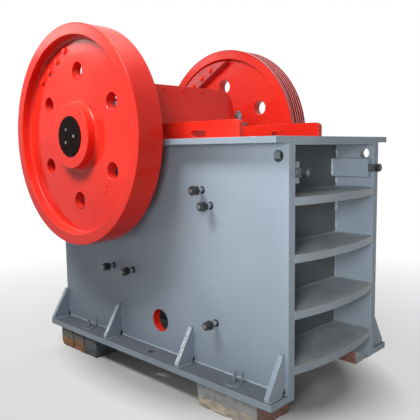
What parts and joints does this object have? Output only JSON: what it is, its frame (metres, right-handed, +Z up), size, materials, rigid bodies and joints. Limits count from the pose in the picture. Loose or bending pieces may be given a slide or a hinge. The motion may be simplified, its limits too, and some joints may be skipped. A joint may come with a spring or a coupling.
{
  "type": "jaw crusher",
  "caption": "Single-toggle jaw crusher: welded frame on blocks, eccentric shaft with flywheel and grooved sheave, hanging moving jaw, toothed jaw plates.",
  "frame": {"origin": "on the floor, midway between the flywheels' rearmost point and the front ends of the clamp bolts, on the machine's middle plane", "axes": "+X towards the feed end with the bowed ribs, +Y across from the flywheel side to the drive sheave side, +Z up"},
  "size_m": [2.467, 1.806, 2.507],
  "materials": {
    "red_paint": "gloss enamel over castings and plate",
    "grey_paint": "semi-gloss blue-grey enamel",
    "dark_steel": "oiled dark steel",
    "jaw_steel": "as-cast manganese steel",
    "block": "rough weathered timber"
  },
  "bodies": {
    "frame": {"side_plate_near": "grey_paint", "side_plate_far": "grey_paint", "front_wall": "grey_paint", "front_rib_1": "grey_paint", "front_rib_2": "grey_paint", "front_rib_3": "grey_paint", "front_rib_4": "grey_paint", "top_flange_near": "grey_paint", "top_flange_far": "grey_paint", "top_flange_front": "grey_paint", "base_flange_near": "grey_paint", "base_flange_far": "grey_paint", "gussets_near": "grey_paint", "gussets_far": "grey_paint", "rear_wall": "grey_paint", "rear_rib_1": "grey_paint", "rear_rib_2": "grey_paint", "rear_rib_3": "grey_paint", "clamp_bar_near": "grey_paint", "clamp_bar_far": "grey_paint", "bearing_housing_near": "grey_paint", "bearing_housing_far": "grey_paint", "cheek_plate_upper_near": "red_paint", "cheek_plate_upper_far": "red_paint", "cheek_plate_lower_near": "red_paint", "cheek_plate_lower_far": "red_paint", "fixed_jaw_plate": "jaw_steel", "side_bolts_near": "dark_steel", "side_bolts_far": "dark_steel", "toggle_seat_block": "red_paint", "adjusting_shims": "dark_steel", "toggle_plate": "jaw_steel", "tension_spring": "dark_steel", "support_block_1": "block", "support_block_2": "block", "support_block_3": "block", "support_block_4": "block"},
    "rotor": {"eccentric_shaft": "dark_steel", "flywheel": "red_paint", "drive_sheave": "red_paint", "counterweight_near": "red_paint", "counterweight_far": "red_paint", "shaft_end_caps": "dark_steel"},
    "jaw": {"moving_jaw": "red_paint", "moving_jaw_plate": "jaw_steel", "jaw_guard_plate": "red_paint", "tension_rod": "dark_steel"}
  },
  "joints": [
    {"name": "rotor_spin", "type": "hinge", "parent": "frame", "child": "rotor", "pos_m": [-0.4595, 0, 1.733], "axis": [0, 1, 0], "continuous": true},
    {"name": "jaw_swing", "type": "hinge", "parent": "frame", "child": "jaw", "pos_m": [-0.4595, 0, 1.733], "axis": [0, 1, 0], "range_deg": [-0.5, 0.5]}
  ]
}
